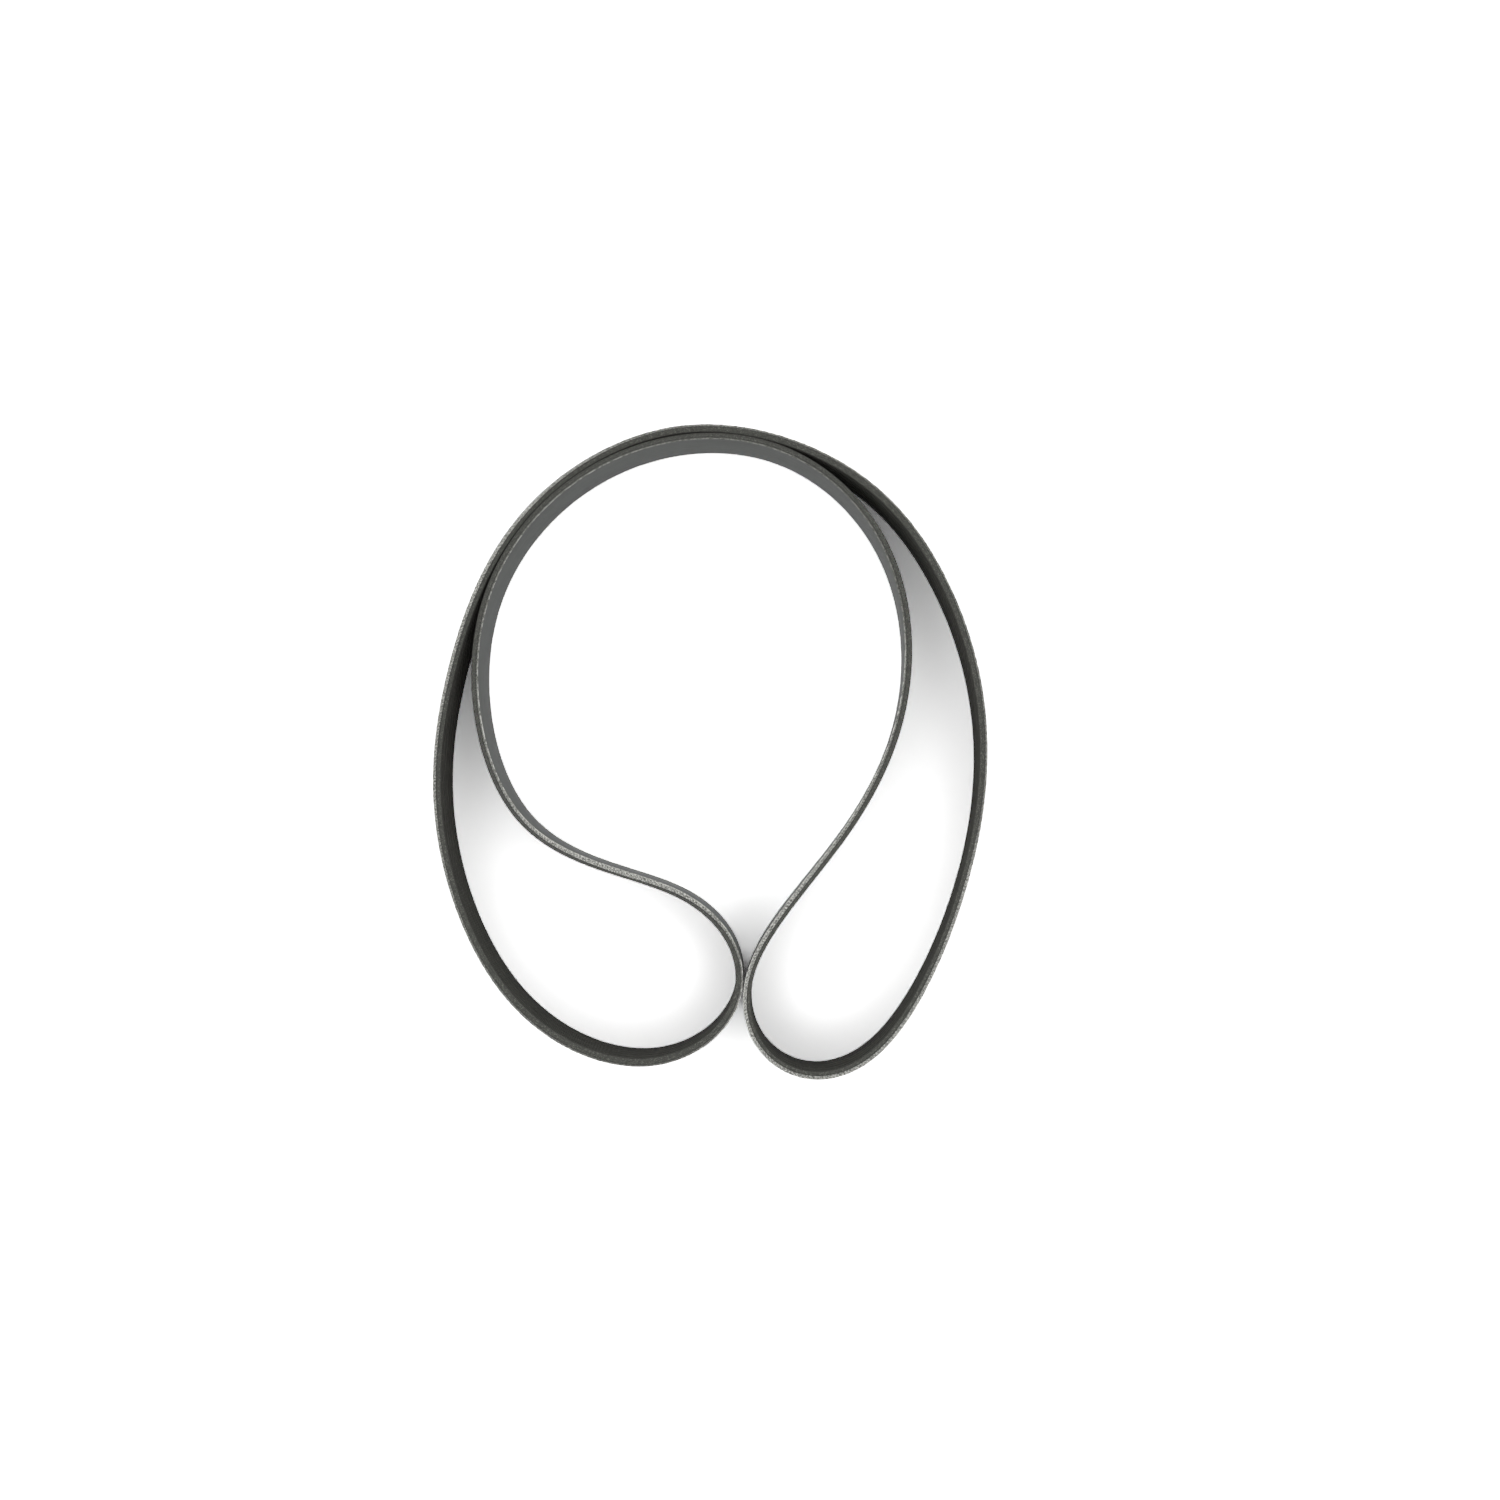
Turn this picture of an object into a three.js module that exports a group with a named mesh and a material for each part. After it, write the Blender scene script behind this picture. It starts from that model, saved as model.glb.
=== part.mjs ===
// A multi-rib drive belt, moulded and cured as one endless band. It stands on one cut
// edge, and its loop is pushed in at one side, so that half of it nests inside the other
// half as a ring with a lobe at each end. Up is +Z, the pushed-in side faces -Y, and the
// origin is on the floor, under the middle of the loop's outline.
//
// Lengths are in millimetres and angles in degrees.
import * as THREE from 'three';

// The band's section. The ribs run the whole way round, on the side that faces the
// space inside the loop. The other side is the smooth back.
const beltLength = 2050;
const ribCount = 6;
const ribPitch = 3.56;
const ribHeight = 2.3;
const ribTipWidth = 1.25;
const ribCornerRadius = 0.5;
const grooveAngle = 40;
const backThickness = 2.1;

// The cut edges run down the middle of a groove, so the band is a whole number of ribs.
const beltWidth = ribCount * ribPitch;
const beltThickness = ribHeight + backThickness;

// The two lobes almost touch, back to back, and stop this far apart.
const lobeGap = 1.1;

// How finely the loop and the rounded rib corners are faceted.
const stationCount = 150;
const ribCornerFacets = 1;

const rubberColour = 0x4b4c48;
const rubberRoughness = 0.75;

// The left lobe's rib tips reach this far to the right. There the right lobe's rib tips
// pass beside them, two bands and the gap between their backs further on.
const leftNose = 15.5;
const besideNose = leftNose + 2 * beltThickness + lobeGap;

// The line of the rib tips along the band's upper edge, as seen from above, drawn with
// few points that a smooth closed curve follows. Each is x, y and lean, where lean is the
// angle at which the band's foot steps out from under its upper edge, towards the ribs.
const layPoints = [
  // Crown, and the outer left side down to the left lobe.
  [-20, 199, 0],
  [-118, 141, 0],
  [-153, 43, 0],
  [-162, -50, 0.5],
  [-118, -157, 0.5],
  // Left lobe, round its nose.
  [-29, -193, 2.5],
  [leftNose + 15, -144, 0.5],
  [-4, -79, 0.5],
  // Nested ring, from the lower left over the top to the lower right.
  [-126, -69, 0],
  [-155, 86, 0.5],
  [-71, 182.5, 0],
  [43, 193, 0],
  [117, 121, -1.5],
  [123, 22, 5],
  [84, -56, 2.5],
  // Right lobe, round its nose.
  [besideNose - 13, -130, 0],
  [besideNose + 8, -189, 0.5],
  [98, -189, 1.5],
  // Outer right side, up to the crown.
  [150, -78, -6.5],
  [162, 20, -1],
  [134, 107, 3],
  [83, 168, 0.5],
];

// A smooth closed curve that is pulled towards its points without passing through them:
// a uniform cubic B-spline, so that the bend changes evenly all along it.
class ClosedSpline extends THREE.Curve {
  constructor(points) {
    super();
    this.points = points;
  }

  getPoint(t, target = new THREE.Vector3()) {
    const count = this.points.length;
    const place = THREE.MathUtils.euclideanModulo(t, 1) * count;
    const first = Math.floor(place);
    const u = place - first;
    const weights = [
      (1 - u) ** 3,
      3 * u ** 3 - 6 * u ** 2 + 4,
      -3 * u ** 3 + 3 * u ** 2 + 3 * u + 1,
      u ** 3,
    ];
    target.set(0, 0, 0);
    weights.forEach((weight, k) => {
      target.addScaledVector(this.points[(first + k) % count], weight / 6);
    });
    return target;
  }
}

// The drawn loop is brought to the band's length. That is measured along the middle of
// its thickness, which is longer than the rib tips' line by half of one more turn.
function buildRibLine() {
  const drawn = new ClosedSpline(layPoints.map(([x, y]) => new THREE.Vector3(x, y, 0)));
  drawn.arcLengthDivisions = 2000;
  const ribLineLength = beltLength - Math.PI * beltThickness;
  const scale = ribLineLength / drawn.getLength();
  const points = layPoints.map(([x, y, lean]) => new THREE.Vector3(x * scale, y * scale, lean));
  return new ClosedSpline(points);
}

// One place on the loop: the point on the rib line, the direction from the ribs to the
// back, and how far the foot is out from under the upper edge, against that direction.
function stationAt(ribLine, t) {
  const reach = 1e-4;
  const point = ribLine.getPoint(t);
  const tangent = ribLine.getPoint(t + reach).sub(ribLine.getPoint(t - reach));
  const toBack = new THREE.Vector2(tangent.y, -tangent.x).normalize();
  const footShift = beltWidth * Math.tan(THREE.MathUtils.degToRad(point.z));
  return { point, toBack, footShift };
}

// Places along the loop, closer together where it bends more: equal steps of the square
// root of the bend, which keeps the facets' chords equally near the curve.
function placeStations(ribLine) {
  const sampleCount = 2200;
  const straightest = 1 / 500;
  const effort = [0];
  for (let i = 0; i < sampleCount; i++) {
    const here = stationAt(ribLine, i / sampleCount);
    const next = stationAt(ribLine, (i + 1) / sampleCount);
    const step = Math.hypot(next.point.x - here.point.x, next.point.y - here.point.y);
    const turn = Math.abs(here.toBack.cross(next.toBack));
    effort.push(effort[i] + Math.sqrt((turn / step + straightest) / straightest) * step);
  }
  const stations = [];
  let sample = 0;
  for (let k = 0; k < stationCount; k++) {
    const wanted = (effort[sampleCount] * k) / stationCount;
    while (effort[sample + 1] < wanted) {
      sample += 1;
    }
    const within = (wanted - effort[sample]) / (effort[sample + 1] - effort[sample]);
    stations.push(stationAt(ribLine, (sample + within) / sampleCount));
  }
  return stations;
}

// A rounded corner where two lines meet, as points on the arc that touches both. The
// lines come from the point `before` and go on to the point `after`.
function roundedCorner(before, corner, after, radius, facets) {
  const back = before.clone().sub(corner).normalize();
  const ahead = after.clone().sub(corner).normalize();
  const halfAngle = Math.acos(back.dot(ahead)) / 2;
  const centre = back.clone().add(ahead).normalize();
  centre.multiplyScalar(radius / Math.sin(halfAngle)).add(corner);
  const start = back.multiplyScalar(radius / Math.tan(halfAngle)).add(corner).sub(centre);
  const end = ahead.multiplyScalar(radius / Math.tan(halfAngle)).add(corner).sub(centre);
  const sweep = Math.atan2(start.cross(end), start.dot(end));
  const points = [];
  for (let k = 0; k <= facets; k++) {
    points.push(start.clone().rotateAround(new THREE.Vector2(), (sweep * k) / facets).add(centre));
  }
  return points;
}

// The band's section: x is the depth from the rib tips to the back, y is the height over
// the lower cut edge. It runs up the ribs' side and closes down the back.
function buildSection() {
  const flankRise = ribHeight * Math.tan(THREE.MathUtils.degToRad(grooveAngle / 2));
  const halfRoot = ribTipWidth / 2 + flankRise;
  const section = [new THREE.Vector2(ribHeight, 0)];
  for (let rib = 0; rib < ribCount; rib++) {
    const middle = (rib + 0.5) * ribPitch;
    const lowerRoot = new THREE.Vector2(ribHeight, middle - halfRoot);
    const lowerTip = new THREE.Vector2(0, middle - ribTipWidth / 2);
    const upperTip = new THREE.Vector2(0, middle + ribTipWidth / 2);
    const upperRoot = new THREE.Vector2(ribHeight, middle + halfRoot);
    section.push(
      lowerRoot,
      ...roundedCorner(lowerRoot, lowerTip, upperTip, ribCornerRadius, ribCornerFacets),
      ...roundedCorner(lowerTip, upperTip, upperRoot, ribCornerRadius, ribCornerFacets),
      upperRoot,
    );
  }
  section.push(new THREE.Vector2(ribHeight, beltWidth));
  section.push(new THREE.Vector2(beltThickness, beltWidth));
  section.push(new THREE.Vector2(beltThickness, 0));
  return section;
}

// The section is carried round the loop, and every copy is joined to the next.
function buildBelt() {
  const section = buildSection();
  const stations = placeStations(buildRibLine());
  const positions = [];
  for (const { point, toBack, footShift } of stations) {
    for (const { x: depth, y: height } of section) {
      const out = depth - footShift * (1 - height / beltWidth);
      positions.push(point.x + toBack.x * out, point.y + toBack.y * out, height);
    }
  }
  const indices = [];
  const sides = section.length;
  for (let k = 0; k < stations.length; k++) {
    const here = k * sides;
    const next = ((k + 1) % stations.length) * sides;
    for (let i = 0; i < sides; i++) {
      const j = (i + 1) % sides;
      indices.push(here + i, next + j, next + i);
      indices.push(here + i, here + j, next + j);
    }
  }
  const geometry = new THREE.BufferGeometry();
  geometry.setAttribute('position', new THREE.Float32BufferAttribute(positions, 3));
  geometry.setIndex(indices);
  geometry.computeBoundingBox();
  const middle = geometry.boundingBox.getCenter(new THREE.Vector3());
  geometry.translate(-middle.x, -middle.y, 0);
  geometry.computeVertexNormals();
  return geometry;
}

const rubber = new THREE.MeshStandardMaterial({
  color: rubberColour,
  roughness: rubberRoughness,
  metalness: 0,
  flatShading: true,
});

const belt = new THREE.Mesh(buildBelt(), rubber);
belt.name = 'ribbed_belt';

const driveBelt = new THREE.Group();
driveBelt.name = 'drive_belt';
driveBelt.add(belt);

export default driveBelt;
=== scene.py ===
# %% [markdown]
# # A multi-rib drive belt
#
# This lesson dresses one belt from an engine bay: an endless band of black rubber that
# carries the crankshaft's turn to the alternator, the pump and the fan. It stands on one of
# its cut edges, with half of the loop pushed in, as such a belt is laid down for a picture.
#
# The belt was moulded and cured as one piece, so there is one piece to model here. What
# makes it look real is its section, which is the same all the way round, and three finishes
# on one rubber: a moulded back, ground ribs and sawn edges.

# %% The fixed frame
import math

import bmesh
import bpy
import numpy as np
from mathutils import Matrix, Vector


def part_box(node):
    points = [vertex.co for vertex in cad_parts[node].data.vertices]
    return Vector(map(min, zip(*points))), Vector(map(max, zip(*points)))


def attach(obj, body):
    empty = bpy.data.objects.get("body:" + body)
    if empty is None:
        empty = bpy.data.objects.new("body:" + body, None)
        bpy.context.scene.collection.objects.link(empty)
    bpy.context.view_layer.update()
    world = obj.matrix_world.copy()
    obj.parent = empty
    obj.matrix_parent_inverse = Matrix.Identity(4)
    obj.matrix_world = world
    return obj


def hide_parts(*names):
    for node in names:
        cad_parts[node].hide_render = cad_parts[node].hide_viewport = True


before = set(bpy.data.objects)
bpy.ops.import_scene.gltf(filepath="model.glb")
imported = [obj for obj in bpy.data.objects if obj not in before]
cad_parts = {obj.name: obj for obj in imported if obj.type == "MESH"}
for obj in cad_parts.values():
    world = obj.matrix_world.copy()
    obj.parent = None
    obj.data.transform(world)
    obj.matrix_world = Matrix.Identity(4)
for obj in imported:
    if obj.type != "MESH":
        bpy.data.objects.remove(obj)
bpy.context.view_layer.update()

# %% [markdown]
# ## Units, and working as by hand
#
# Blender counts in metres, and a belt is drawn in millimetres, so every size below is a
# number of millimetres times MM.
#
# An operator acts on whatever is selected. The two helpers here do what clicks do: one leaves
# a single object selected, the other selects the vertices of the open mesh by their place.

# %% Helpers for selecting
MM = 0.001


def pick(thing):
    bpy.ops.object.select_all(action="DESELECT")
    thing.select_set(True)
    bpy.context.view_layer.objects.active = thing


def select_where(thing, wanted):
    edited = bmesh.from_edit_mesh(thing.data)
    for vertex in edited.verts:
        vertex.select_set(wanted(vertex.co))
    edited.select_flush_mode()
    bmesh.update_edit_mesh(thing.data)


# %% [markdown]
# ## The camera
#
# The belt was looked at from half a metre above, through a wide lens. That is why the walls
# of the ring show although the camera points almost straight down: away from the middle, the
# view leans outwards. The camera comes first, because every later choice is judged through it.
#
# Its place, its small tilt and its lens were worked out from where the upper and lower edges
# of the band fall in the picture.

# %% The camera above the ring
CAMERA_PLACE = (37.2 * MM, -34.8 * MM, 527.4 * MM)
CAMERA_TILT = (math.radians(3.53), math.radians(1.53), math.radians(-0.11))
PICTURE_SIDE_PX = 1500
FOCAL_LENGTH_PX = 879
SENSOR_SIDE_MM = 36

bpy.ops.object.camera_add(location=CAMERA_PLACE, rotation=CAMERA_TILT)
camera = bpy.context.object
camera.name = "camera_above"
camera.data.sensor_width = SENSOR_SIDE_MM
camera.data.lens = FOCAL_LENGTH_PX / PICTURE_SIDE_PX * SENSOR_SIDE_MM
bpy.context.scene.camera = camera
print("lens in mm:", round(camera.data.lens, 2))

# %% [markdown]
# ## The section of the belt
#
# Cut across, the band is 4.4 mm thick. Six ribs stand on one side, each a wedge with flanks 40
# degrees apart that sits in a groove of the pulley. The other side is a smooth back, which
# idlers and tensioners run on. The band was sawn off a wide cured sleeve along the middle of
# two grooves, so it is a whole number of rib pitches wide.
#
# The section could be typed in as a list of corners. It is modelled instead, one pitch of it,
# and that pitch is copied by an array, so that the ribs can't differ.
#
# X is the depth from the rib tips to the back, and Y is the height over the lower cut edge.

# %% The sizes of the section
RIB_COUNT = 6
RIB_PITCH = 3.56 * MM
RIB_HEIGHT = 2.3 * MM
RIB_TIP_WIDTH = 1.25 * MM
GROOVE_ANGLE = math.radians(40)
BACK_THICKNESS = 2.1 * MM

BELT_WIDTH = RIB_COUNT * RIB_PITCH
BELT_THICKNESS = RIB_HEIGHT + BACK_THICKNESS
RIB_ROOT_WIDTH = RIB_TIP_WIDTH + 2 * RIB_HEIGHT * math.tan(GROOVE_ANGLE / 2)
print("band in mm:", round(BELT_WIDTH / MM, 2), "wide,", round(BELT_THICKNESS / MM, 2), "thick")
print("rib in mm:", round(RIB_ROOT_WIDTH / MM, 2), "wide at its root")

# %% [markdown]
# One pitch starts as a plane for the back's rubber. Two bisecting cuts mark the root of the
# rib on it. The stretch of edge between them is extruded to the rib's height and narrowed to
# the width of its tip, which gives both flanks their slant at once.

# %% One pitch, with its rib pulled out
bpy.ops.object.select_all(action="DESELECT")
bpy.ops.mesh.primitive_plane_add(size=1)
section = bpy.context.object
section.name = "belt_section"

bpy.ops.object.mode_set(mode="EDIT")
bpy.ops.transform.resize(value=(BACK_THICKNESS, RIB_PITCH, 1))
bpy.ops.transform.translate(value=(RIB_HEIGHT + BACK_THICKNESS / 2, RIB_PITCH / 2, 0))

rib_middle = RIB_PITCH / 2
for root_height in (rib_middle - RIB_ROOT_WIDTH / 2, rib_middle + RIB_ROOT_WIDTH / 2):
    bpy.ops.mesh.select_all(action="SELECT")
    bpy.ops.mesh.bisect(plane_co=(0, root_height, 0), plane_no=(0, 1, 0))

CLOSE = 0.01 * MM
select_where(
    section,
    lambda co: abs(co.x - RIB_HEIGHT) < CLOSE
    and abs(co.y - rib_middle) < RIB_ROOT_WIDTH / 2 + CLOSE,
)
bpy.ops.mesh.extrude_region_move(TRANSFORM_OT_translate={"value": (-RIB_HEIGHT, 0, 0)})
bpy.ops.transform.resize(
    value=(1, RIB_TIP_WIDTH / RIB_ROOT_WIDTH, 1), center_override=(0, rib_middle, 0)
)
bpy.ops.object.mode_set(mode="OBJECT")
print("corners of one pitch:", len(section.data.vertices))

# %% [markdown]
# Ground ribs have no sharp corners. The grinding wheel rounds the tips to about half a
# millimetre, and the floor of each groove half as much. A vertex bevel makes such a rounding
# on an outline, but only where nothing else meets the corner, so the cuts inside the face are
# dissolved first.

# %% Rounded tips and roots
TIP_ROUNDING = 0.5 * MM
ROOT_ROUNDING = 0.25 * MM
TIP_FACETS = 4
ROOT_FACETS = 2
HALF_CORNER = (math.radians(90) + GROOVE_ANGLE / 2) / 2
NEARLY_STRAIGHT = math.radians(1)


def round_corners(wanted, radius, facets):
    select_where(section, wanted)
    bpy.ops.mesh.bevel(
        offset=radius / math.tan(HALF_CORNER),
        offset_type="OFFSET",
        segments=facets,
        affect="VERTICES",
    )


pick(section)
bpy.ops.object.mode_set(mode="EDIT")
bpy.ops.mesh.select_all(action="SELECT")
bpy.ops.mesh.dissolve_limited(angle_limit=NEARLY_STRAIGHT)
round_corners(lambda co: co.x < CLOSE, TIP_ROUNDING, TIP_FACETS)
round_corners(
    lambda co: abs(co.x - RIB_HEIGHT) < CLOSE and CLOSE < co.y < RIB_PITCH - CLOSE,
    ROOT_ROUNDING,
    ROOT_FACETS,
)
bpy.ops.object.mode_set(mode="OBJECT")
print("points of one rounded pitch:", len(section.data.vertices))

# %% [markdown]
# An array sets six copies of the pitch side by side. Its offset is the pitch itself, given as a
# length and not in widths of the copy, and the corners where two copies meet are merged.

# %% Six ribs side by side
ribs = section.modifiers.new("ribs", "ARRAY")
ribs.count = RIB_COUNT
ribs.use_relative_offset = False
ribs.use_constant_offset = True
ribs.constant_offset_displace = (0, RIB_PITCH, 0)
ribs.use_merge_vertices = True
ribs.merge_threshold = CLOSE
pick(section)
bpy.ops.object.modifier_apply(modifier=ribs.name)
print("section is", round(section.dimensions.y / MM, 2), "mm wide with", RIB_COUNT, "ribs")

# %% [markdown]
# The back's two corners are where the saw came through. They are crisp, but not razor sharp,
# and the little rounding is what catches the light as a thin line along the belt.
#
# The finished face is then emptied: the sweep that comes next needs only its outline.

# %% Broken back corners, and the outline
SAWN_CORNER = 0.18 * MM

bpy.ops.object.mode_set(mode="EDIT")
bpy.ops.mesh.select_all(action="SELECT")
bpy.ops.mesh.dissolve_limited(angle_limit=NEARLY_STRAIGHT)
select_where(section, lambda co: co.x > BELT_THICKNESS - CLOSE)
bpy.ops.mesh.bevel(offset=SAWN_CORNER, offset_type="OFFSET", segments=2, affect="VERTICES")
bpy.ops.mesh.select_all(action="SELECT")
bpy.ops.mesh.delete(type="ONLY_FACE")
bpy.ops.object.mode_set(mode="OBJECT")
bpy.ops.object.convert(target="CURVE")
section = bpy.context.object
outline = [tuple(point.co[:2]) for point in section.data.splines[0].points]
print("points round the section:", len(outline))

# %% [markdown]
# ## The way the belt lies
#
# A slack belt is a spring: its bend changes evenly all along it. A NURBS curve of order 4
# bends the same way, and it is pulled towards its control points without passing through
# them, so a whole loop with two lobes needs only 22.
#
# The points draw the line of the rib tips along the upper edge, seen from above. The third
# number is the lean in degrees, where the band's foot steps out from under its upper edge
# towards the ribs. It is kept as the line's height for now, because then it is smoothed along
# with the line.

# %% The points of the loop
BELT_LENGTH = 2050 * MM
LOBE_GAP = 1.1 * MM
LEFT_NOSE = 15.5
BESIDE_NOSE = LEFT_NOSE + (2 * BELT_THICKNESS + LOBE_GAP) / MM

LAY_POINTS = [
    # Crown, and the outer left side down to the left lobe.
    (-20, 199, 0),
    (-118, 141, 0),
    (-153, 43, 0),
    (-162, -50, 0.5),
    (-118, -157, 0.5),
    # Left lobe, round its nose.
    (-29, -193, 2.5),
    (LEFT_NOSE + 15, -144, 0.5),
    (-4, -79, 0.5),
    # Nested ring, from the lower left over the top to the lower right.
    (-126, -69, 0),
    (-155, 86, 0.5),
    (-71, 182.5, 0),
    (43, 193, 0),
    (117, 121, -1.5),
    (123, 22, 5),
    (84, -56, 2.5),
    # Right lobe, round its nose.
    (BESIDE_NOSE - 13, -130, 0),
    (BESIDE_NOSE + 8, -189, 0.5),
    (98, -189, 1.5),
    # Outer right side, up to the crown.
    (150, -78, -6.5),
    (162, 20, -1),
    (134, 107, 3),
    (83, 168, 0.5),
]

# %% [markdown]
# Blender's NURBS circle is a closed curve with eight points. It gets the points of the loop
# instead, at full weight. The steps between two points decide how finely the bends are drawn:
# with 30, a facet is about 3 mm long.

# %% One smooth closed curve
STEPS_PER_POINT = 30
START_RADIUS = 150 * MM

bpy.ops.object.select_all(action="DESELECT")
bpy.ops.curve.primitive_nurbs_circle_add(radius=START_RADIUS)
loop = bpy.context.object
loop.name = "belt_loop"
spline = loop.data.splines[0]
spline.points.add(len(LAY_POINTS) - len(spline.points))
for point, (x, y, lean) in zip(spline.points, LAY_POINTS):
    point.co = (x * MM, y * MM, math.radians(lean), 1)
spline.order_u = 4
spline.use_cyclic_u = True
spline.use_bezier_u = False
spline.use_endpoint_u = False
spline.resolution_u = STEPS_PER_POINT
loop.data.dimensions = "3D"
print("control points of the loop:", len(spline.points))

# %% [markdown]
# A copy of the curve is turned into a plain line of vertices. It tells where the sweep will
# put each copy of the section and how much the band leans there. Then the curve itself is
# flattened.
#
# The curve as drawn isn't yet as long as the belt. A belt's length is measured along the
# middle of its thickness, which is half a turn of the thickness longer than the rib tips'
# line, since every closed loop makes one full turn.
#
# Scaling a curve also scales the radius of its points, which would shrink the section that it
# carries, so each radius is set back to 1.

# %% Stations along the loop, and the loop's true length
pick(loop)
bpy.ops.object.duplicate()
bpy.ops.object.convert(target="MESH")
line = bpy.context.object
stations = np.array([vertex.co for vertex in line.data.vertices])
bpy.ops.object.delete()

lean = stations[:, 2]
rib_line = stations[:, :2]
drawn_length = np.linalg.norm(np.roll(rib_line, -1, axis=0) - rib_line, axis=1).sum()
scale = (BELT_LENGTH - math.pi * BELT_THICKNESS) / drawn_length
rib_line = rib_line * scale

pick(loop)
bpy.ops.transform.resize(value=(scale, scale, 0), center_override=(0, 0, 0))
bpy.ops.object.transform_apply(location=True, rotation=True, scale=True)
for point in spline.points:
    point.radius = 1
print("stations:", len(stations), " drawn loop was", round(drawn_length / MM, 1), "mm long")

# %% [markdown]
# ## The sweep
#
# A curve's bevel carries another curve's outline along it. That is how the belt's own mould
# works: the same section at every place. Twist is held to Z, so that the section stays
# upright. Converted to a mesh, the vertices come station by station, each station in the
# order of the outline, and the next steps use that order.

# %% The section carried round the loop
loop.data.bevel_mode = "OBJECT"
loop.data.bevel_object = section
loop.data.twist_mode = "Z_UP"
pick(loop)
bpy.ops.object.convert(target="MESH")
belt = bpy.context.object
belt.name = "rubber_belt"
belt.data.name = "rubber_belt"
bpy.data.objects.remove(section)

outline_count = len(outline)
assert len(belt.data.vertices) == len(stations) * outline_count
print("belt:", len(belt.data.vertices), "vertices,", 2 * len(belt.data.polygons), "triangles")

# %% [markdown]
# The lean isn't a turn, because the belt stands flat on its cut edge. It is a shear: the
# upper edge stays, and the lower a vertex is, the further it moves, away from the back. Each
# vertex is moved by its station's lean, and the whole belt is then set in the middle of the
# frame.

# %% Lean, and the place on the floor
depth = np.array([x for x, _ in outline])
height = np.array([y for _, y in outline])

along_line = np.roll(rib_line, -1, axis=0) - np.roll(rib_line, 1, axis=0)
along_line /= np.linalg.norm(along_line, axis=1)[:, None]
to_back = np.stack([along_line[:, 1], -along_line[:, 0]], axis=1)
foot_shift = BELT_WIDTH * np.tan(lean)

places = np.empty((len(stations), outline_count, 3))
belt.data.vertices.foreach_get("co", places.reshape(-1))
shear = foot_shift[:, None] * (1 - height / BELT_WIDTH)
places[:, :, :2] -= to_back[:, None, :] * shear[:, :, None]

node_low, node_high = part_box("ribbed_belt")
middle = (places.reshape(-1, 3).min(axis=0) + places.reshape(-1, 3).max(axis=0)) / 2
places[:, :, 0] += (node_low.x + node_high.x) / 2 - middle[0]
places[:, :, 1] += (node_low.y + node_high.y) / 2 - middle[1]
belt.data.vertices.foreach_set("co", places.reshape(-1))
belt.data.update()
print("largest lean in degrees:", round(float(np.degrees(np.abs(lean).max())), 1))

# %% [markdown]
# A sweep doesn't know which side of it is outside, so the faces are turned outwards. Shading is
# then smooth along the belt and round the small corners, and only edges sharper than the limit
# stay hard. The volume is positive when all faces point outwards.

# %% Faces outwards, smooth but for the real edges
SHARP_FROM = math.radians(28)

pick(belt)
bpy.ops.object.mode_set(mode="EDIT")
bpy.ops.mesh.select_all(action="SELECT")
bpy.ops.mesh.normals_make_consistent(inside=False)
bpy.ops.object.mode_set(mode="OBJECT")
bpy.ops.object.shade_smooth_by_angle(angle=SHARP_FROM)
closed = bmesh.new()
closed.from_mesh(belt.data)
print("volume in cm3:", round(closed.calc_volume(signed=True) * 1e6, 1))
closed.free()

# %% [markdown]
# ## Where a finish is on the belt
#
# Grinding lines, saw marks and fibres follow the belt round its bends, so their patterns
# can't be tied to the room. Each corner of each face gets a vector instead, called "lay": how
# far along the belt it is, how deep from the rib tips, and how high over the lower edge, all
# in metres. Patterns drawn on it keep their real size everywhere.
#
# It is kept per face corner, because at the end of the loop the same vertices are both at the
# start and at the full length.

# %% The lay attribute
FACE_CORNERS = 4

step_lengths = np.linalg.norm(np.roll(rib_line, -1, axis=0) - rib_line, axis=1)
along = np.concatenate([[0], np.cumsum(step_lengths)[:-1]])

corner_vertex = np.empty(len(belt.data.loops), dtype=int)
belt.data.loops.foreach_get("vertex_index", corner_vertex)
corner_along = along[corner_vertex // outline_count].reshape(-1, FACE_CORNERS)
closes_loop = np.ptp(corner_along, axis=1, keepdims=True) > BELT_LENGTH / 2
corner_along = np.where(
    closes_loop & (corner_along < BELT_LENGTH / 2), corner_along + step_lengths.sum(), corner_along
)
lay = np.stack(
    [
        corner_along.reshape(-1),
        depth[corner_vertex % outline_count],
        height[corner_vertex % outline_count],
    ],
    axis=1,
)
attribute = belt.data.attributes.new("lay", "FLOAT_VECTOR", "CORNER")
attribute.data.foreach_set("vector", lay.reshape(-1))
print("faces over the loop's end:", int(closes_loop.sum()))

# %% [markdown]
# The saw doesn't open the belt's inside to the same degree everywhere. How much it did is a
# second attribute. At 0 hardly any shows, at 1 the opened cord is at its lightest, and above 1
# it only gets wider. It is given at some places along the belt, as shares of its length, and
# runs evenly between them. At the top of the left lobe, right below the camera, it is raised
# until the light band covers most of the edge: that part is painted highlight, for the light
# that the flat edge reflects there.

# %% The fray attribute
FRAY_AND_HIGHLIGHT = [
    # Outer left side, and the bottom and nose of the left lobe.
    (0.00, 1.00),
    (0.05, 0.90),
    (0.09, 0.65),
    (0.14, 0.35),
    (0.19, 0.10),
    (0.23, 0.35),
    # Top of the left lobe, and round the ring to its right side.
    # Here the band is widened over most of the edge: painted highlight, for the light that the
    # flat edge below the camera reflects, on top of the opened cord.
    (0.27, 1.60),
    (0.32, 0.45),
    (0.36, 0.14),
    (0.42, 0.14),
    (0.45, 0.05),
    (0.54, 0.05),
    (0.59, 0.45),
    # Right lobe, outer right side and crown.
    (0.64, 1.00),
    (0.70, 0.90),
    (0.73, 0.85),
    (0.77, 0.75),
    (0.79, 0.35),
    (0.87, 0.25),
    (0.95, 0.35),
]

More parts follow.
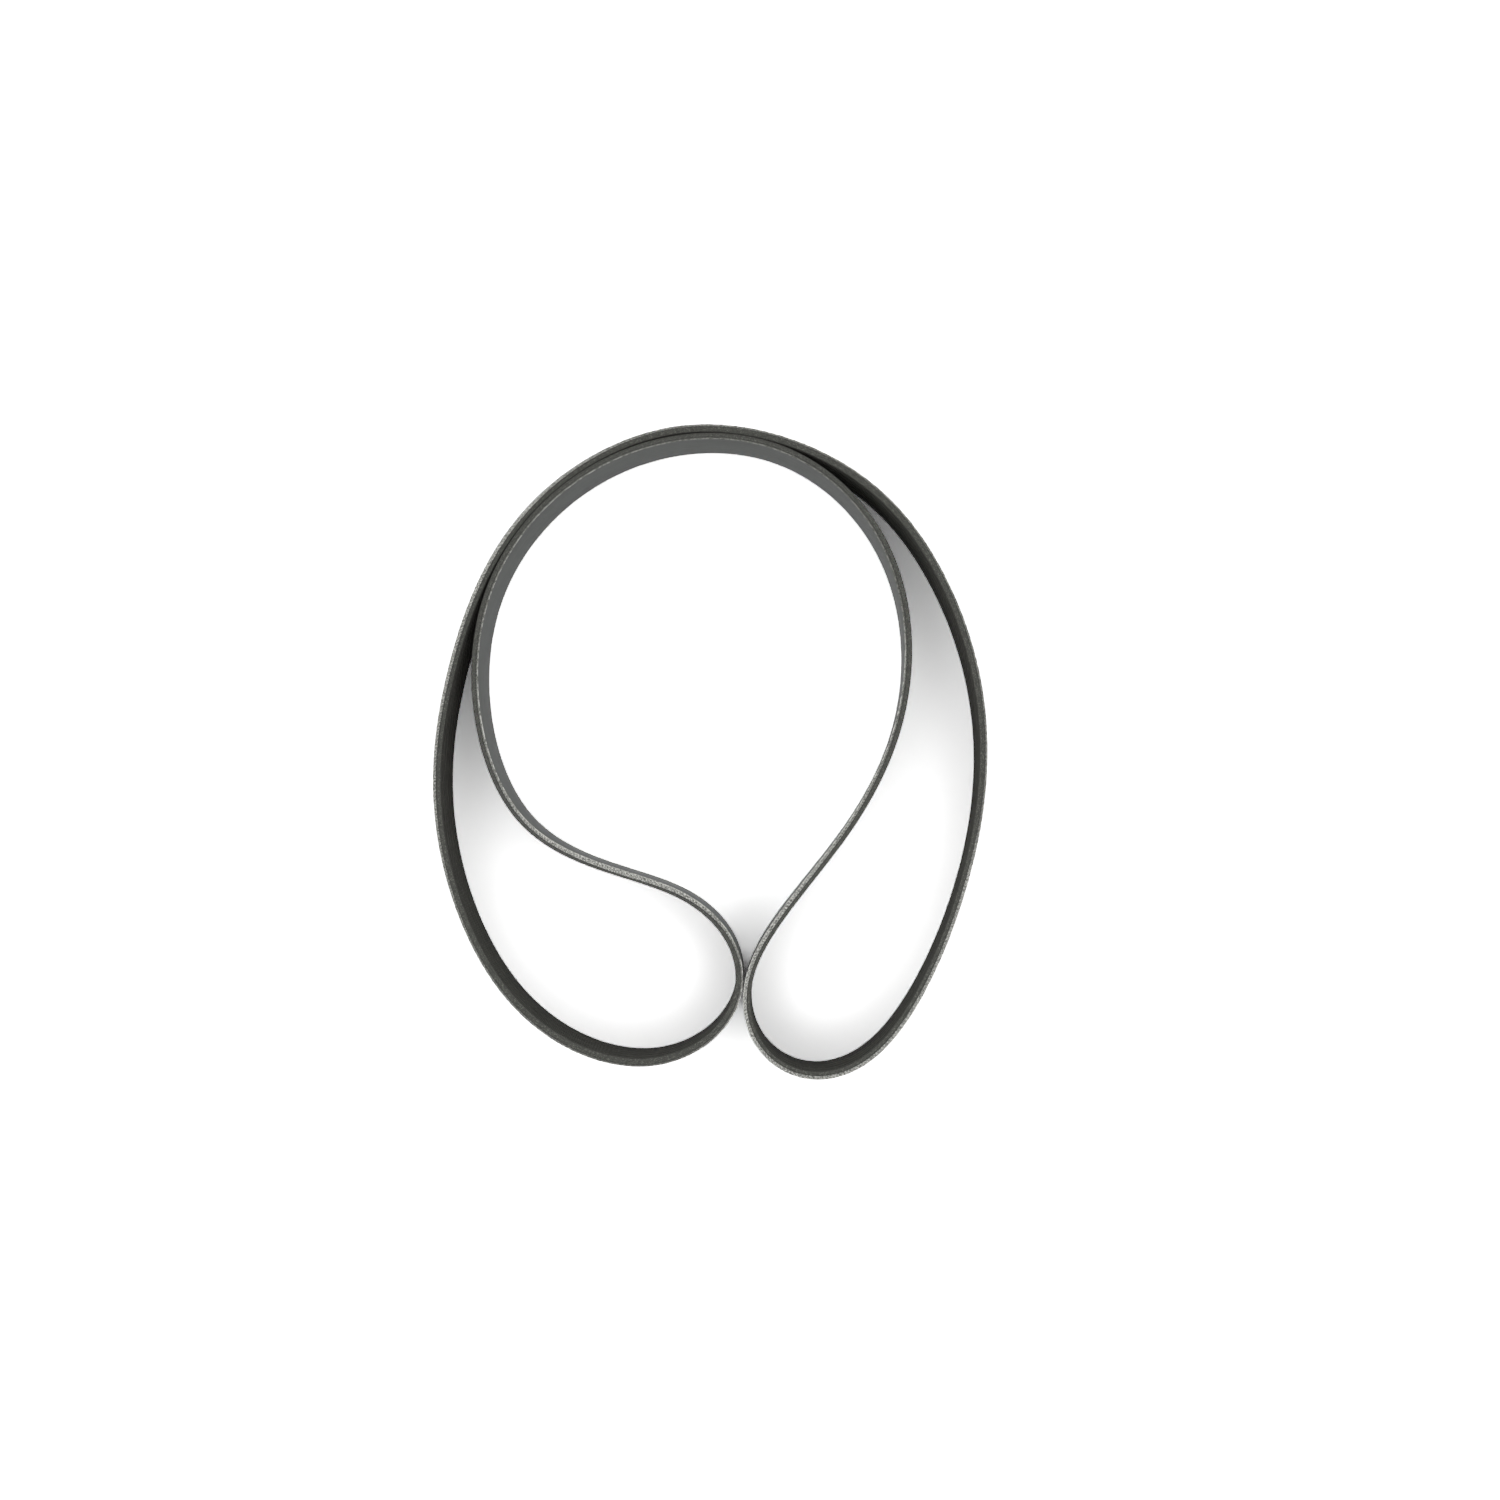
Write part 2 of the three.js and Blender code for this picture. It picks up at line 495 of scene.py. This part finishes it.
corner_share = corner_along.reshape(-1) / step_lengths.sum()
shares, amounts = zip(*FRAY_AND_HIGHLIGHT)
fray_and_highlight_amount = np.interp(corner_share, shares, amounts, period=1)
attribute = belt.data.attributes.new("fray_and_highlight", "FLOAT", "CORNER")
attribute.data.foreach_set("value", fray_and_highlight_amount)
start = np.degrees(np.arctan2(places[0, 0, 1], places[0, 0, 0]))
print("the belt's length is counted from", round(float(start)), "degrees round from +X")

# %% [markdown]
# ## Colours and nodes
#
# Colours are written as they look on a screen, in sRGB, and Blender's shaders want them
# linear. One function does that. Another adds a node, with its settings as keywords and its
# inputs as a dictionary. An input is a plain value, or another node's output, or a whole node,
# which is then linked by the first output that is in use.

# %% Helpers for materials


def linear(hex_colour):
    channels = [int(hex_colour[i : i + 2], 16) / 255 for i in (1, 3, 5)]
    return (*[c / 12.92 if c <= 0.04045 else ((c + 0.055) / 1.055) ** 2.4 for c in channels], 1)


def connect(tree, node, inputs):
    for name, value in inputs.items():
        if isinstance(value, bpy.types.Node):
            value = next(socket for socket in value.outputs if socket.enabled)
        if isinstance(value, bpy.types.NodeSocket):
            tree.links.new(value, node.inputs[name])
        else:
            node.inputs[name].default_value = value


def add_node(tree, kind, inputs=None, **settings):
    node = tree.nodes.new(kind)
    for name, value in settings.items():
        setattr(node, name, value)
    connect(tree, node, inputs or {})
    return node


def new_material(name):
    material = bpy.data.materials.new(name)
    material.use_nodes = True
    tree = material.node_tree
    return material, tree, tree.nodes["Principled BSDF"]


# %% [markdown]
# Two chains of nodes come back in every finish, so each gets a function too.
#
# The first is a noise that follows the belt. The lay divided by the size of a cell counts
# cells, and the noise changes about once in each, so a long thin cell gives streaks along the
# belt. The second lays one colour over another where a pattern is strong: not at all below a
# low limit, and above a high one by the share called most.
#
# A mix of colours has the same socket names as a mix of numbers, so its sockets are called by
# their numbers, which get names here.

# %% Helpers for patterns
MIX_FACTOR, MIX_A, MIX_B = 0, 6, 7


def noise_along(tree, cell_length_mm, cell_width_mm, detail):
    lay_here = add_node(tree, "ShaderNodeAttribute", attribute_name="lay").outputs["Vector"]
    cell = (cell_length_mm, cell_width_mm, cell_width_mm)
    cells = add_node(
        tree,
        "ShaderNodeVectorMath",
        {0: lay_here, 1: [1 / (size * MM) for size in cell]},
        operation="MULTIPLY",
    )
    return add_node(
        tree, "ShaderNodeTexNoise", {"Vector": cells, "Scale": 1.0, "Detail": detail}
    )


def lay_over(tree, under, over, pattern, low, high, most=1.0):
    share = add_node(
        tree,
        "ShaderNodeMapRange",
        {"Value": pattern, "From Min": low, "From Max": high, "To Max": most},
        interpolation_type="SMOOTHSTEP",
    )
    return add_node(
        tree, "ShaderNodeMix", {MIX_FACTOR: share, MIX_A: under, MIX_B: over}, data_type="RGBA"
    )


# %% [markdown]
# ## The moulded back
#
# The back is EPDM rubber, cured under pressure against a smooth sleeve. That gives a closed,
# even skin with a satin look. It is dark grey rather than black, because carbon-black rubber
# reflects a little light at every angle and more at a low one, which is how the ring's wall
# is seen here.
#
# Three patterns keep it from looking like plastic. Cloudy patches a few centimetres wide are
# the bloom, where wax in the rubber has come to the surface. Fine lines along the belt are
# the marks of the sleeve. The real lines are some tenths of a millimetre apart, and they are
# drawn at 0.9 mm so that they can be seen at all. The faint grain that breaks up the sheen is
# drawn at 0.6 mm for the same reason, several times coarser than it is.
#
# An image could hold all this, but it would have to be stretched along two metres of belt.
# Noise nodes have no end and no edge, so they are used for all three finishes.

# %% Moulded EPDM
RUBBER_IOR = 1.52
BLOOM_SIZE = 45 * MM
GRAIN_SIZE = 0.6 * MM

moulded_back, tree, surface = new_material("epdm_rubber_moulded")

place = add_node(tree, "ShaderNodeTexCoord").outputs["Object"]
bloom = add_node(
    tree,
    "ShaderNodeTexNoise",
    {"Vector": place, "Scale": 1 / BLOOM_SIZE, "Detail": 3.0, "Roughness": 0.5},
)
skin = lay_over(tree, linear("#4a4c4a"), linear("#545655"), bloom, 0.3, 0.7)
sleeve_lines = noise_along(tree, 60, 0.9, 2.0)
skin = lay_over(tree, skin, linear("#636562"), sleeve_lines, 0.35, 0.75, 0.35)
satin = add_node(
    tree,
    "ShaderNodeMapRange",
    {"Value": bloom, "From Min": 0.3, "From Max": 0.7, "To Min": 0.4, "To Max": 0.5},
    interpolation_type="SMOOTHSTEP",
)
grain = add_node(
    tree, "ShaderNodeTexNoise", {"Vector": place, "Scale": 1 / GRAIN_SIZE, "Detail": 2.0}
)
skin_bump = add_node(
    tree, "ShaderNodeBump", {"Strength": 0.25, "Distance": 0.05 * MM, "Height": grain}
)
connect(
    tree,
    surface,
    {"Base Color": skin, "Roughness": satin, "Normal": skin_bump, "IOR": RUBBER_IOR},
)
print("finish:", moulded_back.name)

# %% [markdown]
# ## The ground ribs
#
# The ribs are cut into the cured sleeve by a grinding wheel. Ground rubber is matt. Its greys
# here are darker than a moulded skin, and in part that is painted shade: the rib walls lie deep
# in the grooves, where little light gets in, and their colour is made as dark as that shade. The
# rubber of the ribs is filled with short fibres that lie across the belt, and the wheel leaves
# their ends standing: pale specks, far less than a millimetre long, drawn here 0.7 mm long.

# %% Ground EPDM with short fibres
ground_ribs_and_groove_shade, tree, surface = new_material("epdm_rubber_ground_and_groove_shade")

wheel_marks = noise_along(tree, 14, 0.35, 3.0)
# These two greys are darker than the rubber itself: painted shade for the rib walls deep in the
# grooves.
ground_and_groove_shade = lay_over(tree, linear("#2d2d29"), linear("#3c3c37"), wheel_marks, 0.3, 0.7)
fibre_ends = noise_along(tree, 0.7, 0.4, 1.0)
ground_and_groove_shade = lay_over(tree, ground_and_groove_shade, linear("#75756b"), fibre_ends, 0.66, 0.76, 0.5)
ground_bump = add_node(
    tree, "ShaderNodeBump", {"Strength": 0.5, "Distance": 0.06 * MM, "Height": wheel_marks}
)
connect(
    tree,
    surface,
    {"Base Color": ground_and_groove_shade, "Roughness": 0.85, "Normal": ground_bump, "IOR": RUBBER_IOR},
)
print("finish:", ground_ribs_and_groove_shade.name)

# %% [markdown]
# ## The sawn edges
#
# Each cut edge shows what is inside the belt. Under the back lies the tension cord, wound
# round the sleeve in a slow spiral, so the saw opens it along the edge. Its pale polyester
# strands show as a broken light band beside the back corner, and then comes the dull sawn
# face. Modelled strands would be thousands of pieces on a line some 2 mm wide, so patterns
# draw them. The finish is built up from four things, each a chain of nodes of its own.
#
# The first is the band's reach. Measured from the back, it gets wider with the attribute of the
# fray and of the painted highlight: the more the saw opened, the further it reaches towards the
# ribs, and at the painted highlight it covers most of the edge.

# %% How far the opened cord reaches
BAND_GROWTH = 1.3 * MM
BAND_FULL = 0.6 * MM
BAND_END = 1.1 * MM

sawn_edge_and_lit_flank, tree, surface = new_material("epdm_rubber_sawn_and_lit_flank")

lay_here = add_node(tree, "ShaderNodeAttribute", attribute_name="lay").outputs["Vector"]
lay_parts = add_node(tree, "ShaderNodeSeparateXYZ", {"Vector": lay_here})
fray_and_highlight_here = add_node(tree, "ShaderNodeAttribute", attribute_name="fray_and_highlight").outputs["Fac"]
from_back = add_node(
    tree, "ShaderNodeMath", {0: BELT_THICKNESS, 1: lay_parts.outputs["Y"]}, operation="SUBTRACT"
)
past_band = add_node(
    tree,
    "ShaderNodeMath",
    {0: fray_and_highlight_here, 1: -BAND_GROWTH, 2: from_back},
    operation="MULTIPLY_ADD",
)
band = add_node(
    tree,
    "ShaderNodeMapRange",
    {
        "Value": past_band,
        "From Min": BAND_FULL,
        "From Max": BAND_END,
        "To Min": 1.0,
        "To Max": 0.0,
    },
    interpolation_type="SMOOTHSTEP",
)
band_widths = [round(width / MM, 1) for width in (BAND_END, BAND_END + BAND_GROWTH)]
print("the band's width in mm at a fray of 0 and of 1:", band_widths)

# %% [markdown]
# The second is the cord itself. It is twisted, once in about 2 mm, so the band is a row of
# short slanted dashes. A sine along the belt draws them, a noise shifts its phase, so that
# they aren't even, and a finer noise breaks them up into loose fibres. Real fibres are some
# hundredths of a millimetre thick, and are drawn about half a millimetre thick to be seen.

# %% The twisted cord
CORD_TWIST = 2 * MM
CORD_SLANT = 0.8
CORD_SHIFT_IN_TURNS = 2.0

slanted = add_node(
    tree,
    "ShaderNodeMath",
    {0: from_back, 1: CORD_SLANT, 2: lay_parts.outputs["X"]},
    operation="MULTIPLY_ADD",
)
uneven = noise_along(tree, 5, 1.5, 1.0)
shift = add_node(
    tree, "ShaderNodeMath", {0: uneven, 1: CORD_SHIFT_IN_TURNS}, operation="MULTIPLY"
)
turns = add_node(
    tree, "ShaderNodeMath", {0: slanted, 1: 1 / CORD_TWIST, 2: shift}, operation="MULTIPLY_ADD"
)
angle = add_node(tree, "ShaderNodeMath", {0: turns, 1: 2 * math.pi}, operation="MULTIPLY")
wave = add_node(tree, "ShaderNodeMath", {0: angle}, operation="SINE")
dash = add_node(
    tree,
    "ShaderNodeMapRange",
    {"Value": wave, "From Min": -0.8, "From Max": 0.6, "To Min": 0.5},
    interpolation_type="SMOOTHSTEP",
)
fibres = add_node(
    tree,
    "ShaderNodeMapRange",
    {"Value": noise_along(tree, 0.9, 0.5, 3.0), "From Min": 0.36, "From Max": 0.6, "To Min": 0.15},
    interpolation_type="SMOOTHSTEP",
)
cord_strength = add_node(tree, "ShaderNodeMapRange", {"Value": fray_and_highlight_here, "To Min": 0.06})

cord = band
for factor in (dash, fibres, cord_strength):
    cord = add_node(tree, "ShaderNodeMath", {0: cord, 1: factor}, operation="MULTIPLY")
print("twists of cord round the belt:", round(BELT_LENGTH / CORD_TWIST))

# %% [markdown]
# The third is a hem of longer threads on the back corner itself, where the saw left a torn
# fringe. It is strong already where the fray is small, so it shows as a thin light line on
# stretches that have hardly any band beside it.

# %% The hem on the back corner
HEM_FULL = 0.4 * MM
HEM_END = 0.8 * MM

at_corner = add_node(
    tree,
    "ShaderNodeMapRange",
    {
        "Value": from_back,
        "From Min": HEM_FULL,
        "From Max": HEM_END,
        "To Min": 1.0,
        "To Max": 0.0,
    },
    interpolation_type="SMOOTHSTEP",
)
threads = add_node(
    tree,
    "ShaderNodeMapRange",
    {"Value": noise_along(tree, 2.2, 0.8, 2.0), "From Min": 0.4, "From Max": 0.58, "To Min": 0.15},
    interpolation_type="SMOOTHSTEP",
)
hem_strength = add_node(
    tree,
    "ShaderNodeMapRange",
    {"Value": fray_and_highlight_here, "From Max": 0.3, "To Min": 0.12, "To Max": 0.9},
)

hem = at_corner
for factor in (threads, hem_strength):
    hem = add_node(tree, "ShaderNodeMath", {0: hem, 1: factor}, operation="MULTIPLY")
light = add_node(tree, "ShaderNodeMath", {0: cord, 1: hem}, operation="MAXIMUM")
print("hem's width in mm:", round(HEM_END / MM, 1))

# %% [markdown]
# The fourth is the sawn rubber: dull, with short saw marks and the pale ends of the ribs'
# fibres, which are drawn coarser here too. Right beside the band runs a thin dark line, where
# the rubber that held the cord is bare. The light fibres stand up a little from all this, so
# they go into the bump as well.

# %% Sawn EPDM with opened cord
BARE_LINE_START = (0.7 * MM, 1.0 * MM)
BARE_LINE_END = (1.1 * MM, 1.5 * MM)
BARE_LINE_STRENGTH = 0.7

saw_marks = noise_along(tree, 1.6, 0.5, 3.0)
sawn = lay_over(tree, linear("#3f403c"), linear("#565751"), saw_marks, 0.3, 0.7)
fibre_ends = noise_along(tree, 0.8, 0.6, 1.0)
sawn = lay_over(tree, sawn, linear("#93938a"), fibre_ends, 0.56, 0.68, 0.4)

line_start = add_node(
    tree,
    "ShaderNodeMapRange",
    {"Value": past_band, "From Min": BARE_LINE_START[0], "From Max": BARE_LINE_START[1]},
    interpolation_type="SMOOTHSTEP",
)
line_end = add_node(
    tree,
    "ShaderNodeMapRange",
    {
        "Value": past_band,
        "From Min": BARE_LINE_END[0],
        "From Max": BARE_LINE_END[1],
        "To Min": BARE_LINE_STRENGTH,
        "To Max": 0.0,
    },
    interpolation_type="SMOOTHSTEP",
)
bare_line = add_node(tree, "ShaderNodeMath", {0: line_start, 1: line_end}, operation="MULTIPLY")
for share, colour in ((bare_line, linear("#2e2f2b")), (light, linear("#e6e6e0"))):
    sawn = add_node(
        tree,
        "ShaderNodeMix",
        {MIX_FACTOR: share, MIX_A: sawn, MIX_B: colour},
        data_type="RGBA",
    )

sawn_height = add_node(tree, "ShaderNodeMath", {0: light, 1: saw_marks}, operation="ADD")
sawn_bump = add_node(
    tree, "ShaderNodeBump", {"Strength": 0.6, "Distance": 0.08 * MM, "Height": sawn_height}
)
connect(
    tree,
    surface,
    {"Base Color": sawn, "Roughness": 0.8, "Normal": sawn_bump, "IOR": RUBBER_IOR},
)
print("finish:", sawn_edge_and_lit_flank.name)

# %% [markdown]
# ## Which face has which finish
#
# Every strip of faces runs the whole way round and comes from one side of the outline, so its
# finish follows from where it is in the section: on the back, on a cut edge, or on the ribs. Two
# more strips go with the cut edges: the little rounding of the back corners, which the frayed
# fibres reach round, and the outer flank of the first and last rib. That flank is ground rubber
# as well, and its lighter sawn finish is painted light: the upper one faces up and catches more
# light than the rib walls down in the grooves, whose colour is dark as painted shade.

# %% Finishes given to the faces
for material in (moulded_back, ground_ribs_and_groove_shade, sawn_edge_and_lit_flank):
    belt.data.materials.append(material)
BACK_FACES, RIB_FACES, SAWN_AND_LIT_FLANK_FACES = range(3)

face_depth = lay[:, 1].reshape(-1, FACE_CORNERS).mean(axis=1)
face_height = lay[:, 2].reshape(-1, FACE_CORNERS).mean(axis=1)
from_edge = np.minimum(face_height, BELT_WIDTH - face_height)
# The outer flanks take the lighter sawn finish as painted light, for the light that the upper one
# catches.
lit_flank_width = (RIB_PITCH - RIB_TIP_WIDTH) / 2 - TIP_ROUNDING / 2
finish = np.full(len(face_depth), RIB_FACES)
finish[from_edge < lit_flank_width] = SAWN_AND_LIT_FLANK_FACES
finish[(face_depth > BELT_THICKNESS - CLOSE) & (from_edge > SAWN_CORNER)] = BACK_FACES
belt.data.polygons.foreach_set("material_index", finish)
belt.data.update()
print("faces with each finish:", np.bincount(finish).tolist())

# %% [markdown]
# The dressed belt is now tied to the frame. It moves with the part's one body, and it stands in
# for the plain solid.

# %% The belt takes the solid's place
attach(belt, "root")
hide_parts("ribbed_belt")
print("in place of ribbed_belt:", belt.name)

# %% [markdown]
# ## The floor
#
# The belt stands on matt white paper. In a product picture the paper is exposed until it is
# pure white, and only the deep gaps between the strands stay grey. The belt itself must not be
# lit that strongly, or black rubber would turn grey.
#
# So the paper's colour depends on who looks. The light that it throws back at the belt comes
# from a light grey. A reflection shows it white. The camera meets a colour about twice as
# bright, which clips to white in the open and still darkens where the belt keeps light off.
#
# Between the two lobes that would go wrong: the bottom of a slit one millimetre wide is lit a
# little from its ends, and twice as bright it would look grey. The Ambient Occlusion node tells
# how open a place is, as the share of short rays from it that hit nothing. Beside one wall that
# is a half, and in a slit far less. Below 0.4 the paper is shown ever darker, down to 0.1. This
# is painted shade: the paper's own colour is darkened where the strands close in.

# %% White paper
FLOOR_SIDE = 8.0
PAPER_BOUNCE = 0.65
PAPER_IN_REFLECTION = 1.3
PAPER_SHOWN = 2.8
PAPER_SHOWN_IN_SLIT = 0.1
SLIT_RAY_LENGTH = 10 * MM
SLIT_RAY_COUNT = 8
SLIT_OPENNESS = (0.1, 0.4)


def grey(level):
    return (level, level, level, 1)


def reflected_or_through(tree, rays):
    """1 for reflections and for rays through glass, else 0."""
    return add_node(
        tree,
        "ShaderNodeMath",
        {0: rays.outputs["Is Glossy Ray"], 1: rays.outputs["Is Transmission Ray"]},
        operation="MAXIMUM",
    )


bpy.ops.object.select_all(action="DESELECT")
bpy.ops.mesh.primitive_plane_add(size=FLOOR_SIDE)
floor = bpy.context.object
floor.name = "paper_floor"
paper, tree, surface = new_material("matt_white_paper")
rays = add_node(tree, "ShaderNodeLightPath")
openness = add_node(
    tree,
    "ShaderNodeAmbientOcclusion",
    {"Distance": SLIT_RAY_LENGTH},
    samples=SLIT_RAY_COUNT,
).outputs["AO"]
# Painted shade: the paper is shown darker where the Ambient Occlusion finds a narrow slit.
shown = lay_over(tree, grey(PAPER_SHOWN_IN_SLIT), grey(PAPER_SHOWN), openness, *SLIT_OPENNESS)
colour = grey(PAPER_BOUNCE)
for who_looks, seen in (
    (reflected_or_through(tree, rays), grey(PAPER_IN_REFLECTION)),
    (rays.outputs["Is Camera Ray"], shown),
):
    colour = add_node(
        tree,
        "ShaderNodeMix",
        {MIX_FACTOR: who_looks, MIX_A: colour, MIX_B: seen},
        data_type="RGBA",
    )
matt = add_node(tree, "ShaderNodeBsdfDiffuse", {"Color": colour})
tree.links.new(matt.outputs["BSDF"], tree.nodes["Material Output"].inputs["Surface"])
tree.nodes.remove(surface)
floor.data.materials.append(paper)
print("floor side in metres:", FLOOR_SIDE)

# %% [markdown]
# ## The light
#
# The light is that of a cloth tent: bright walls all round and a dim top, where the opening
# for the camera is. Walls of light reach the upright faces of the belt and the open paper, but
# hardly get down between two strands, which is why those gaps are dark in the picture.
#
# The tent is the world, so no lamp is needed. Its brightness depends on how steeply a ray goes
# up, which is the Z of its direction: full below TENT_WALL_TOP, fading until TENT_OPENING.

# %% The tent
TENT_LEVEL = 2.3
TENT_WALL_TOP = 0.2
TENT_OPENING = 0.9

room = bpy.data.worlds.new("cloth_tent")
bpy.context.scene.world = room
room.use_nodes = True
tree = room.node_tree
tree.nodes.clear()
direction = add_node(tree, "ShaderNodeTexCoord").outputs["Generated"]
steepness = add_node(tree, "ShaderNodeSeparateXYZ", {"Vector": direction}).outputs["Z"]
cloth = add_node(
    tree,
    "ShaderNodeMapRange",
    {
        "Value": steepness,
        "From Min": TENT_WALL_TOP,
        "From Max": TENT_OPENING,
        "To Min": TENT_LEVEL,
        "To Max": 0.0,
    },
    interpolation_type="SMOOTHSTEP",
)
lit_by = add_node(tree, "ShaderNodeBackground", {"Color": grey(1), "Strength": cloth})
seen_as = add_node(tree, "ShaderNodeBackground", {"Color": grey(1), "Strength": 1.0})
rays = add_node(tree, "ShaderNodeLightPath")
eye = add_node(
    tree,
    "ShaderNodeMath",
    {0: rays.outputs["Is Camera Ray"], 1: reflected_or_through(tree, rays)},
    operation="MAXIMUM",
)
room_mix = add_node(tree, "ShaderNodeMixShader", {0: eye, 1: lit_by, 2: seen_as})
add_node(tree, "ShaderNodeOutputWorld", {"Surface": room_mix})
bpy.context.scene.view_settings.view_transform = "Standard"
print("strength of the tent's walls:", TENT_LEVEL)
